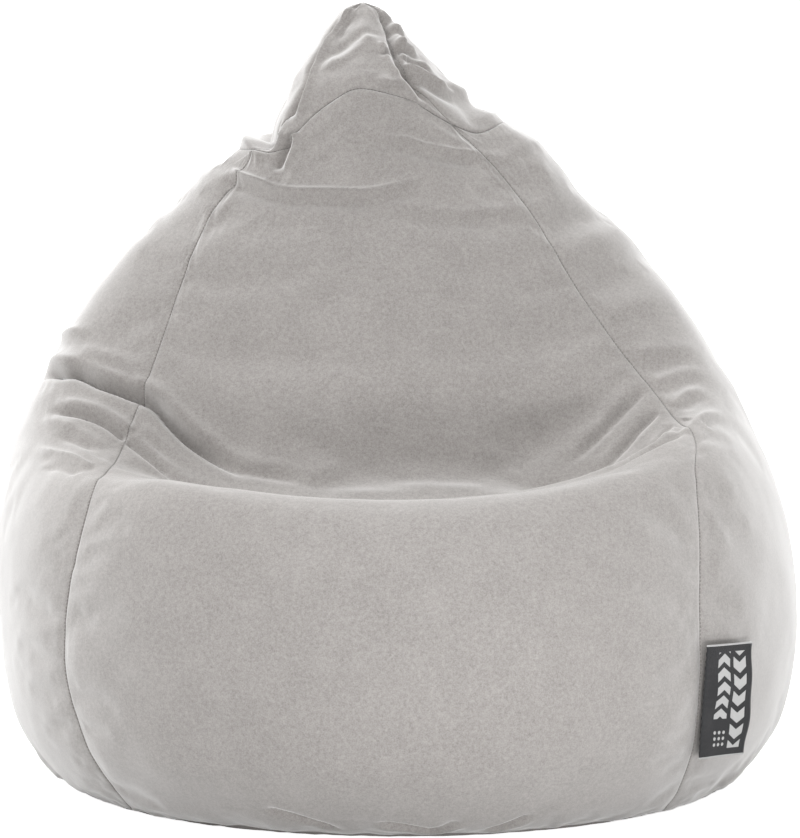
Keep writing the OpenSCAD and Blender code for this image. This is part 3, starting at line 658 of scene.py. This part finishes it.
def cloth_finish(name, dark, light, threads=800.0, patches=0.35, mottle=0.5, bump=0.35, sheen=0.6,
                 seams=True, glow=0.9):
    """Cloth: nap and weave in its colour and surface, stitches beside its seams, painted shade along the
    seams, and a painted sheen: the base colour is paled where the cloth turns away from the camera, as
    strongly as glow and the brushed attribute allow.
    """
    material, tree, shader = finish(name, Roughness=0.95, Sheen_Weight=sheen, Sheen_Roughness=0.32,
                                    Specular_IOR_Level=0.15)
    shader.inputs["Sheen Tint"].default_value = (1, 0.985, 0.97, 1)
    place = node(tree, "TexCoord")
    soft = node(tree, "Group", node_tree=nap)
    tree.links.new(place.outputs["Object"], soft.inputs["Place"])
    soft.inputs["Patches"].default_value = patches
    soft.inputs["Mottle"].default_value = mottle
    threads_node = node(tree, "Group", node_tree=weave)
    tree.links.new(place.outputs["UV"], threads_node.inputs["Cloth map"])
    threads_node.inputs["Threads"].default_value = threads
    gaps = maths(tree, "MULTIPLY", threads_node.outputs["Gaps"], 0.08)
    tone = maths(tree, "ADD", soft.outputs["Tone"], gaps, clamp=True)
    mix = blend_colours(tree, tone, dark, light, shader)
    threads_up = maths(tree, "MULTIPLY", threads_node.outputs["Height"], 0.35)
    height = maths(tree, "ADD", soft.outputs["Height"], threads_up)
    if seams:
        seam = node(tree, "Attribute", attribute_name="seam")
        run = node(tree, "Attribute", attribute_name="run")
        # painted shade of the seam groove: the colour is darkened down to 0.6 within about a millimetre of
        # each seam, and most on the turned-in hem
        near = node(tree, "MapRange", interpolation_type="SMOOTHSTEP")
        tree.links.new(seam.outputs["Fac"], near.inputs["Value"])
        for key, value in (("From Min", -1.0), ("From Max", 1.1), ("To Min", 0.6), ("To Max", 1.0)):
            near.inputs[key].default_value = value
        # stitches: short dashes beside the seam
        wave = maths(tree, "SINE", maths(tree, "MULTIPLY", run.outputs["Fac"], math.tau / STITCH_LENGTH))
        dash = maths(tree, "GREATER_THAN", wave, -0.2)
        off_line = maths(tree, "ABSOLUTE", maths(tree, "SUBTRACT", seam.outputs["Fac"], STITCH_IN))
        stitches = maths(tree, "MULTIPLY", dash, maths(tree, "LESS_THAN", off_line, STITCH_HALF))
        thread_shade = maths(tree, "SUBTRACT", 1.0, maths(tree, "MULTIPLY", stitches, 0.25))
        shade = maths(tree, "MULTIPLY", near.outputs["Result"], thread_shade)
        # the painted seam shade and the darker stitch dashes multiply the cloth colour
        seam_shade_and_stitches = node(tree, "Mix", data_type="RGBA", blend_type="MULTIPLY")
        seam_shade_and_stitches.inputs["Factor"].default_value = 1
        tree.links.new(mix.outputs["Result"], seam_shade_and_stitches.inputs["A"])
        grey = node(tree, "CombineColor")
        for i in range(3):
            tree.links.new(shade, grey.inputs[i])
        tree.links.new(grey.outputs[0], seam_shade_and_stitches.inputs["B"])
        mix = seam_shade_and_stitches
        height = maths(tree, "ADD", height, maths(tree, "MULTIPLY", stitches, 1.2))
    # painted sheen: the base colour is mixed towards pale grey where the cloth turns away from the camera,
    # scaled by glow
    painted_sheen_facing = node(tree, "LayerWeight", in_Blend=0.5)
    edge = maths(tree, "MULTIPLY", maths(tree, "POWER", painted_sheen_facing.outputs["Facing"], 2.2), glow, clamp=True)
    if seams:
        # the brushed attribute cuts the painted sheen back where it is low
        brushed = node(tree, "Attribute", attribute_name="brushed")
        edge = maths(tree, "MULTIPLY", edge, brushed.outputs["Fac"])
    painted_sheen_mix = node(tree, "Mix", data_type="RGBA")
    painted_sheen_mix.inputs["B"].default_value = (0.97, 0.965, 0.96, 1)
    tree.links.new(edge, painted_sheen_mix.inputs["Factor"])
    tree.links.new(mix.outputs["Result"], painted_sheen_mix.inputs["A"])
    tree.links.new(painted_sheen_mix.outputs["Result"], shader.inputs["Base Color"])
    relief = node(tree, "Bump", in_Strength=bump, in_Distance=0.0012)
    tree.links.new(height, relief.inputs["Height"])
    tree.links.new(relief.outputs[0], shader.inputs["Normal"])
    return material


cover_cloth = cloth_finish("napped cover cloth", (0.225, 0.210, 0.2), (0.485, 0.461, 0.445),
                           mottle=0.95, patches=0.3, glow=0.92)
base_cloth = cloth_finish("woven base cloth", (0.33, 0.31, 0.295), (0.43, 0.405, 0.39),
                          threads=500.0, sheen=0.15, bump=0.6, glow=0.2)
tape_cloth = cloth_finish("zip tape twill", (0.30, 0.285, 0.275), (0.40, 0.38, 0.365),
                          threads=1100.0, sheen=0.1, seams=False, glow=0.2)
liner_cloth = cloth_finish("thin liner cloth", (0.80, 0.80, 0.79), (0.88, 0.88, 0.87),
                           threads=1500.0, sheen=0.1, patches=0.2, seams=False, glow=0.2)

# ---------------------------------------------------------------- sewing the cover
# panel, the part it stands for, its own name, and its cells up and across
PANELS = [
    ("front", "front_panel", "front_cloth", 396, 246),
    ("right", "right_side_panel", "right_side_cloth", 380, 180),
    ("left", "left_side_panel", "left_side_cloth", 380, 180),
    ("back_right", "back_right_panel", "back_right_cloth", 300, 100),
    ("back_left", "back_left_panel", "back_left_cloth", 300, 100),
    ("tip_front", "tip_front_gore", "peak_front_cloth", 90, 80),
    ("tip_right", "tip_right_gore", "peak_right_cloth", 90, 90),
    ("tip_back", "tip_back_gore", "peak_back_cloth", 90, 110),
    ("tip_left", "tip_left_gore", "peak_left_cloth", 90, 70),
]
for name, part, piece_name, rows, cols in PANELS:
    piece = sew_panel(name, piece_name, rows, cols, cover_cloth)
    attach(piece, "bag")
    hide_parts(part)



def clear_selection():
    bpy.ops.object.select_all(action="DESELECT")


# the base, gathered a little into its seam, where its rim is turned up as a hem
SPOKES, RINGS = 240, 30
BASE_IN = 2.0
MM_PER_DEGREE = 5.7
turn, reach = np.meshgrid(np.linspace(0, 360, SPOKES + 1)[:-1], np.append(crowded(RINGS, 0.5), 1.0),
                          indexing="ij")
rim = bag_point(turn, 0 * turn)
rim[..., :2] -= unit(rim[..., :2]) * BASE_IN
base = rim * reach[..., None]
base[..., 2] = 0.1 + 0.7 * ease(0.8, 1, reach) * (1 + cloud(rim, 9, 2))
base[:, -1] += (0, 0, HEM)
stride = RINGS + 2
i, j = np.meshgrid(np.arange(SPOKES), np.arange(1, RINGS + 1), indexing="ij")
a, b = i * stride + j, (i + 1) % SPOKES * stride + j
quads = np.stack([a, a + 1, b + 1, b], -1).reshape(-1, 4).tolist()
middle = [[i * stride, i * stride + 1, (i + 1) % SPOKES * stride + 1] for i in range(SPOKES)]
rim_gap = np.linalg.norm(rim[..., :2], axis=-1) * (1 - reach)
base_run = (turn * MM_PER_DEGREE).ravel()
# the base takes no painted sheen: its brushed value is 0 everywhere
base_values = {"seam": rim_gap.ravel(), "run": base_run, "brushed": 0 * turn.ravel()}
base_piece = mesh_object("base_cloth", base.reshape(-1, 3) * MM, [f[::-1] for f in quads + middle],
                         base_cloth, base[..., :2].reshape(-1, 2) * MM, base_values)
clear_selection()
bpy.context.view_layer.objects.active = base_piece
base_piece.select_set(True)
bpy.ops.object.mode_set(mode="EDIT")
bpy.ops.mesh.select_all(action="SELECT")
bpy.ops.mesh.remove_doubles(threshold=0.00001)
bpy.ops.mesh.dissolve_degenerate(threshold=0.00001)
bpy.ops.object.mode_set(mode="OBJECT")
base_piece.select_set(False)
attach(base_piece, "bag")
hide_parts("base_panel")


# ---------------------------------------------------------------- liner and beads
ZIP_ROOM = 9


def inner_bag(name, depth, floor_height, top_row, material):
    """A closed bag that follows the cover's folds at a depth inside it, and stays clear of the zip."""
    turn, row = np.meshgrid(np.linspace(0, 360, 145)[:-1], np.linspace(0, top_row, 100), indexing="ij")
    turn, row = turn.T, row.T
    p, out = cloth_point(turn, row)
    room = ZIP_ROOM * np.exp(-((p[..., 0] / 26) ** 2)) * (from_front(turn) > 150)
    room = room * ease(1.2, SLOT_LOW, row) * (1 - ease(SLOT_HIGH, SLOT_HIGH + 1, row))
    p = p - out * (depth + room)[..., None]
    p[0, :, 2] = floor_height
    p[1:, :, 2] = np.maximum(p[1:, :, 2], floor_height + 1)
    rows, cols = p.shape[:2]
    i, j = np.meshgrid(np.arange(rows - 1), np.arange(cols), indexing="ij")
    a, b = i * cols + j, i * cols + (j + 1) % cols
    sides = np.stack([a, b, b + cols, a + cols], -1).reshape(-1, 4).tolist()
    end = rows * cols
    caps = [[(k + 1) % cols, k, end] for k in range(cols)]
    caps += [[end - cols + k, end - cols + (k + 1) % cols, end + 1] for k in range(cols)]
    points = np.concatenate([p.reshape(-1, 3), [p[0].mean(0)], [p[-1].mean(0)]])
    uv = np.concatenate([np.stack([turn * 6.0, row * 70.0], -1).reshape(-1, 2), [(0, 0), (0, 0)]]) * MM
    piece = mesh_object(name, points * MM, sides + caps, material, uv)
    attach(piece, "bag")
    return piece


liner = inner_bag("liner_bag", 12, 4, 13.6, liner_cloth)
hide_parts("inner_liner")
beads_finish, tree, shader = finish("expanded beads", Roughness=0.7, Specular_IOR_Level=0.3)
bead = node(tree, "TexVoronoi", in_Scale=230.0)
tree.links.new(node(tree, "TexCoord").outputs["Object"], bead.inputs["Vector"])
# painted shade: each bead is pale in its middle and greyer towards its rim, where the beads meet
painted_bead_shade = maths(tree, "MULTIPLY", bead.outputs["Distance"], 1.2, clamp=True)
blend_colours(tree, painted_bead_shade, (0.92, 0.92, 0.91), (0.55, 0.55, 0.54), shader)
round_bead = node(tree, "Bump", in_Strength=0.9, in_Distance=0.002, invert=True)
tree.links.new(bead.outputs["Distance"], round_bead.inputs["Height"])
tree.links.new(round_bead.outputs[0], shader.inputs["Normal"])
beads = inner_bag("bead_mass", 15, 7, 13.3, beads_finish)
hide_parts("bead_filling")


# ---------------------------------------------------------------- zips
def thick_sheet(name, middle, normal, thick, material, uv):
    """A closed sheet around a grid of middle points."""
    rows, cols = middle.shape[:2]
    faces = grid_faces(rows - 1, cols - 1)
    n = rows * cols
    border = list(range(cols)) + [r * cols + cols - 1 for r in range(1, rows)]
    border += [(rows - 1) * cols + c for c in range(cols - 2, -1, -1)]
    border += [r * cols for r in range(rows - 2, 0, -1)]
    edge = [(border[k], border[k - 1], border[k - 1] + n, border[k] + n) for k in range(len(border))]
    top, low = middle + normal * thick / 2, middle - normal * thick / 2
    points = np.concatenate([top.reshape(-1, 3), low.reshape(-1, 3)]) * MM
    all_faces = faces.tolist() + (faces[:, ::-1] + n).tolist() + edge
    return mesh_object(name, points, all_faces, material, np.concatenate([uv.reshape(-1, 2)] * 2) * MM)


# angles of the zip's lower and upper end on its arc, in degrees, and the tape that runs past the stops
ZIP_LOW, ZIP_HIGH, ZIP_PAST = -28, 45, 1.4


def round_arc(across, angle, radius):
    """Points on the zip's arc, and the way out from it."""
    a = np.radians(angle)
    out = np.stack([0 * a, np.cos(a), np.sin(a)], -1)
    return np.stack([across, ARC_Y + radius * out[..., 1], ARC_Z + radius * out[..., 2]], -1), out


def zip_tape(name, part, inner, width, radius, thick, material, low=ZIP_LOW - ZIP_PAST,
             high=ZIP_HIGH + ZIP_PAST):
    """One side of a zip's tape, from its inner edge outwards, with a slight ripple away from the coil."""
    angle, across = np.meshgrid(np.linspace(low, high, 300), np.linspace(inner, inner + width, 13),
                                indexing="ij")
    ripple = 0.12 * np.sin(angle * 3.1) * ease(0.3, 1, abs(across - inner) / abs(width))
    middle, out = round_arc(across, angle, radius + ripple)
    if width > 0:
        middle, out, angle, across = middle[:, ::-1], out[:, ::-1], angle[:, ::-1], across[:, ::-1]
    tape = thick_sheet(name, middle, out, thick, material, np.stack([across, angle * 5.2], -1))
    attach(tape, "bag")
    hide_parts(part)


def zip_coil(name, part, middle, radius, wide, tall, wire, pitch, material):
    """One row of a coil zip: a fine wire wound along the tape."""
    clear_selection()
    length = math.radians(ZIP_HIGH - ZIP_LOW) * (radius + tall / 2)
    bpy.ops.mesh.primitive_circle_add(vertices=5, radius=wire * MM, rotation=(math.pi / 2, 0, 0),
                                      location=((wide / 2 - wire) * MM, 0, 0))
    coil = bpy.context.object
    bpy.ops.object.transform_apply()
    wind = coil.modifiers.new("wind", "SCREW")
    turns, steps = int(length / pitch), 8
    wind.angle, wind.screw_offset, wind.iterations = math.tau, pitch * MM, turns
    wind.steps, wind.render_steps = steps, steps
    bpy.ops.object.modifier_apply(modifier="wind")
    bpy.ops.object.mode_set(mode="EDIT")
    bpy.ops.mesh.select_all(action="SELECT")
    bpy.ops.mesh.normals_make_consistent(inside=False)
    bpy.ops.object.mode_set(mode="OBJECT")
    co = np.empty(len(coil.data.vertices) * 3)
    coil.data.vertices.foreach_get("co", co)
    co = co.reshape(-1, 3) / MM
    share = np.clip((co[:, 2] + wire) / (turns * pitch + 2 * wire), 0, 1)
    angle = ZIP_LOW + (ZIP_HIGH - ZIP_LOW) * share
    placed, _ = round_arc(middle + co[:, 0], angle, radius + tall / 2 + co[:, 1] * tall / wide)
    coil.data.vertices.foreach_set("co", (placed * MM).ravel())
    coil.data.update()
    coil.name = name
    coil.data.materials.append(material)
    bpy.ops.object.shade_smooth()
    coil.select_set(False)
    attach(coil, "bag")
    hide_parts(part)


def hard_finish(name, dark, light, rough, metal=0.0, scale=300.0, streak=(1, 1, 1), coat=0.0, bump=0.2):
    """Moulded nylon or cast metal: a fine grain in the colour, the gloss and the surface."""
    material, tree, shader = finish(name, Metallic=metal, Coat_Weight=coat, Coat_Roughness=0.25)
    place = node(tree, "TexCoord")
    stretch = node(tree, "Mapping")
    stretch.inputs["Scale"].default_value = streak
    tree.links.new(place.outputs["Object"], stretch.inputs["Vector"])
    grain = node(tree, "TexNoise", in_Scale=scale, in_Detail=5.0, in_Roughness=0.6)
    tree.links.new(stretch.outputs[0], grain.inputs["Vector"])
    blend_colours(tree, grain.outputs["Fac"], dark, light, shader)
    gloss = node(tree, "MapRange", in_1=0.3, in_2=0.7, in_3=rough - 0.08, in_4=rough + 0.12)
    tree.links.new(grain.outputs["Fac"], gloss.inputs["Value"])
    tree.links.new(gloss.outputs["Result"], shader.inputs["Roughness"])
    relief = node(tree, "Bump", in_Strength=bump, in_Distance=0.0002)
    tree.links.new(grain.outputs["Fac"], relief.inputs["Height"])
    tree.links.new(relief.outputs[0], shader.inputs["Normal"])
    return material


nylon = hard_finish("grey nylon coil", (0.25, 0.235, 0.225), (0.34, 0.325, 0.31), 0.38, scale=900.0)
pale_nylon = hard_finish("white nylon coil", (0.72, 0.72, 0.71), (0.84, 0.84, 0.83), 0.4, scale=900.0)
nickel = hard_finish("brushed nickel", (0.46, 0.45, 0.44), (0.62, 0.61, 0.59), 0.3, metal=1.0,
                     scale=700.0, streak=(6, 1, 1), bump=0.3)
liner_tape_cloth = cloth_finish("liner tape twill", (0.70, 0.70, 0.69), (0.84, 0.84, 0.83),
                                threads=1100.0, sheen=0.1, patches=0.2, seams=False, glow=0.1)
# arcs of the two tapes' middles, and of the coils' undersides on them
TAPE_THICK, TAPE_R, COIL_R = 0.8, 295.8, 296.5
LINER_TAPE_R, LINER_COIL_R = 286.8, 287.5
for side, sign in (("left", -1), ("right", 1)):
    # the tape runs on under the back seam, further below the zip than above it
    zip_tape("zip_tape_cloth_" + side, "zip_tape_" + side, sign * 0.9, sign * 15.5, TAPE_R, TAPE_THICK,
             tape_cloth, ZIP_LOW - 6.2, ZIP_HIGH + 3.6)
    zip_coil("zip_coil_wound_" + side, "zip_coil_" + side, middle=sign * 1.75, radius=COIL_R, wide=1.7,
             tall=1.8, wire=0.3, pitch=1.5, material=nylon)
zip_tape("liner_tape_cloth", "liner_zip_tape", -11, 22, LINER_TAPE_R, TAPE_THICK, liner_tape_cloth)
zip_coil("liner_coil_wound", "liner_zip_coil", middle=0, radius=LINER_COIL_R, wide=4.4, tall=1.9, wire=0.4,
         pitch=2.0, material=pale_nylon)
for part, material in (("zip_top_stop", nickel), ("zip_bottom_stop", nickel), ("zip_slider", nickel),
                       ("zip_pull", nickel), ("liner_zip_slider", pale_nylon)):
    for slot in bpy.data.objects[part].material_slots:
        slot.material = material

# ---------------------------------------------------------------- woven label in the right front seam
# the middle of its sewn edge in mm, and its three directions: up, along the cloth and outwards
LABEL_AT = np.array([286.433, -284.338, 116.798])
LABEL_UP = np.array([0.05265, -0.14179, 0.98850])
LABEL_SIDE = np.array([0.66612, 0.74411, -0.05075])
LABEL_OUT = np.array([0.73371, -0.66600, -0.13461])
LABEL_WIDE, LABEL_TALL, LABEL_SEWN = 62, 112, 2.5
LABEL_THICK, LABEL_LIFT = 0.9, 5

label_cloth, tree, shader = finish("woven label", Roughness=0.8, Sheen_Weight=0.15, Sheen_Roughness=0.4,
                                   Specular_IOR_Level=0.3)
place = node(tree, "TexCoord")
parts = node(tree, "SeparateXYZ")
tree.links.new(place.outputs["UV"], parts.inputs[0])
u, v = parts.outputs[0], parts.outputs[1]


def between(value, low, high):
    above, below = maths(tree, "GREATER_THAN", value, low), maths(tree, "LESS_THAN", value, high)
    return maths(tree, "MULTIPLY", above, below)


def chevrons(middle, half, low, high, slope, pitch, part):
    """A column of bars that meet at an angle."""
    off = maths(tree, "ABSOLUTE", maths(tree, "SUBTRACT", u, middle))
    along = maths(tree, "ADD", v, maths(tree, "MULTIPLY", off, slope))
    step = maths(tree, "FRACT", maths(tree, "DIVIDE", along, pitch))
    inside = maths(tree, "MULTIPLY", maths(tree, "LESS_THAN", off, half), between(v, low, high))
    return maths(tree, "MULTIPLY", inside, maths(tree, "LESS_THAN", step, part))


def dots(low_u, low_v, cell, count):
    """A small square of round dots."""
    squares = []
    for value, low in ((u, low_u), (v, low_v)):
        cell_place = maths(tree, "FRACT", maths(tree, "DIVIDE", maths(tree, "SUBTRACT", value, low), cell))
        squares.append(maths(tree, "POWER", maths(tree, "SUBTRACT", cell_place, 0.5), 2))
    near = maths(tree, "LESS_THAN", maths(tree, "ADD", *squares), 0.085)
    side = cell * count
    block = maths(tree, "MULTIPLY", between(u, low_u, low_u + side), between(v, low_v, low_v + side))
    return maths(tree, "MULTIPLY", near, block)


light_threads = maths(tree, "MAXIMUM", chevrons(0.0235, 0.0085, 0.038, 0.104, 0.7, 0.0135, 0.6),
                      chevrons(0.0455, 0.0085, 0.008, 0.104, -0.7, 0.0165, 0.62))
light_threads = maths(tree, "MAXIMUM", light_threads, dots(0.0145, 0.0095, 0.006, 3))
cut_edge = maths(tree, "SUBTRACT", 1.0, between(v, 0.0016, 0.1104))
light_threads = maths(tree, "MAXIMUM", light_threads, cut_edge)
threads_node = node(tree, "Group", node_tree=weave)
tree.links.new(place.outputs["UV"], threads_node.inputs["Cloth map"])
threads_node.inputs["Threads"].default_value = 1300.0
soft = node(tree, "Group", node_tree=nap)
tree.links.new(place.outputs["Object"], soft.inputs["Place"])
shades = []
for dark, light in (((0.025, 0.025, 0.027), (0.065, 0.065, 0.068)), ((0.50, 0.50, 0.50), (0.70, 0.70, 0.69))):
    shade = node(tree, "Mix", data_type="RGBA")
    shade.inputs["A"].default_value, shade.inputs["B"].default_value = (*dark, 1), (*light, 1)
    tone = maths(tree, "MULTIPLY", threads_node.outputs["Gaps"], soft.outputs["Tone"])
    tree.links.new(tone, shade.inputs["Factor"])
    shades.append(shade.outputs["Result"])
thread_colour = node(tree, "Mix", data_type="RGBA")
tree.links.new(light_threads, thread_colour.inputs["Factor"])
tree.links.new(shades[0], thread_colour.inputs["A"])
tree.links.new(shades[1], thread_colour.inputs["B"])
tree.links.new(thread_colour.outputs["Result"], shader.inputs["Base Color"])
relief = node(tree, "Bump", in_Strength=0.5, in_Distance=0.0004)
tree.links.new(maths(tree, "ADD", threads_node.outputs["Height"], light_threads), relief.inputs["Height"])
tree.links.new(relief.outputs[0], shader.inputs["Normal"])

up, along = np.meshgrid(np.linspace(-LABEL_TALL / 2, LABEL_TALL / 2, 57),
                        np.linspace(-LABEL_SEWN, LABEL_WIDE, 34), indexing="ij")
lift = math.radians(LABEL_LIFT)
reach = LABEL_SIDE * math.cos(lift) + LABEL_OUT * math.sin(lift)
face = unit(np.cross(reach, LABEL_UP))
free = ease(0, 20, along)
wave = free * (1.3 * np.sin(up / 16 + along / 30) + 0.8 * np.sin(up / 7.5 + 1.1 - along / 22))
wave = wave + 1.6 * ease(40, LABEL_WIDE, along) * np.cos(up / 30)
wave += 0.35 * np.sin(up * 0.9) * (1 - ease(0, 14, along))
label_middle = LABEL_AT + reach * along[..., None] + LABEL_UP * up[..., None] + face * (wave - 0.5)[..., None]
label = thick_sheet("woven_label", label_middle, np.broadcast_to(face, label_middle.shape), LABEL_THICK,
                    label_cloth, np.stack([along, up + LABEL_TALL / 2], -1))
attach(label, "side_label")
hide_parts("side_label")

# ---------------------------------------------------------------- floor and light
# the floor looks evenly pale, and only throws back a softer light
pale_floor, tree, shader = finish("pale floor", Base_Color=(0.95, 0.95, 0.95, 1), Roughness=0.8,
                                  Emission_Color=(1, 1, 1, 1), Emission_Strength=0.85)
bounce = node(tree, "BsdfDiffuse", in_Color=(0.6, 0.6, 0.6, 1))
by_eye = node(tree, "MixShader")
tree.links.new(node(tree, "LightPath").outputs["Is Camera Ray"], by_eye.inputs[0])
tree.links.new(bounce.outputs[0], by_eye.inputs[1])
tree.links.new(shader.outputs[0], by_eye.inputs[2])
end = next(n for n in tree.nodes if n.type == "OUTPUT_MATERIAL")
tree.links.new(by_eye.outputs[0], end.inputs[0])
floor_corners = np.array([(-12, -8, 0), (12, -8, 0), (12, 16, 0), (-12, 16, 0)], float)
floor = mesh_object("floor", floor_corners, [(0, 1, 2, 3)], pale_floor)

# the studio: a broad light behind and a little to the left and above, dimmer in front
world = bpy.data.worlds.new("studio")
scene.world = world
world.use_nodes = True
sky = world.node_tree
sky.nodes.clear()
toward = node(sky, "TexCoord")
split = node(sky, "SeparateXYZ")
sky.links.new(toward.outputs["Generated"], split.inputs[0])
FRONT_LIGHT, BACK_LIGHT, BACKDROP = 0.69, 2.1, 1.3
behind = node(sky, "MapRange", interpolation_type="SMOOTHSTEP", in_1=-0.4, in_2=0.9, in_3=FRONT_LIGHT,
              in_4=BACK_LIGHT)
over = maths(sky, "ADD", maths(sky, "MULTIPLY_ADD", split.outputs["Z"], 0.58, split.outputs["Y"]),
             maths(sky, "MULTIPLY", split.outputs["X"], -0.62))
sky.links.new(over, behind.inputs["Value"])
seen = node(sky, "LightPath")
power = node(sky, "Mix", data_type="FLOAT")
power.inputs["B"].default_value = BACKDROP
sky.links.new(seen.outputs["Is Camera Ray"], power.inputs["Factor"])
sky.links.new(behind.outputs["Result"], power.inputs["A"])
glow = node(sky, "Background")
glow.inputs["Color"].default_value = (1, 1, 1, 1)
sky.links.new(power.outputs["Result"], glow.inputs["Strength"])
air = node(sky, "OutputWorld")
sky.links.new(glow.outputs[0], air.inputs[0])


def soft_light(name, place, target, size, watts):
    """A soft panel light that the camera doesn't see."""
    data = bpy.data.lights.new(name, "AREA")
    data.shape, data.size, data.size_y, data.energy = "RECTANGLE", size[0], size[1], watts
    lamp = bpy.data.objects.new(name, data)
    scene.collection.objects.link(lamp)
    lamp.location = place
    lamp.visible_camera = False
    lamp.rotation_euler = (Vector(target) - Vector(place)).to_track_quat("-Z", "Y").to_euler()


soft_light("low front light", (0.4, -2.3, 0.08), (0.1, -0.35, 0.05), (0.8, 0.3), 3.5)
soft_light("low side light", (0.42, -1.15, 0.03), (0.15, -0.35, 0.05), (0.5, 0.12), 4)
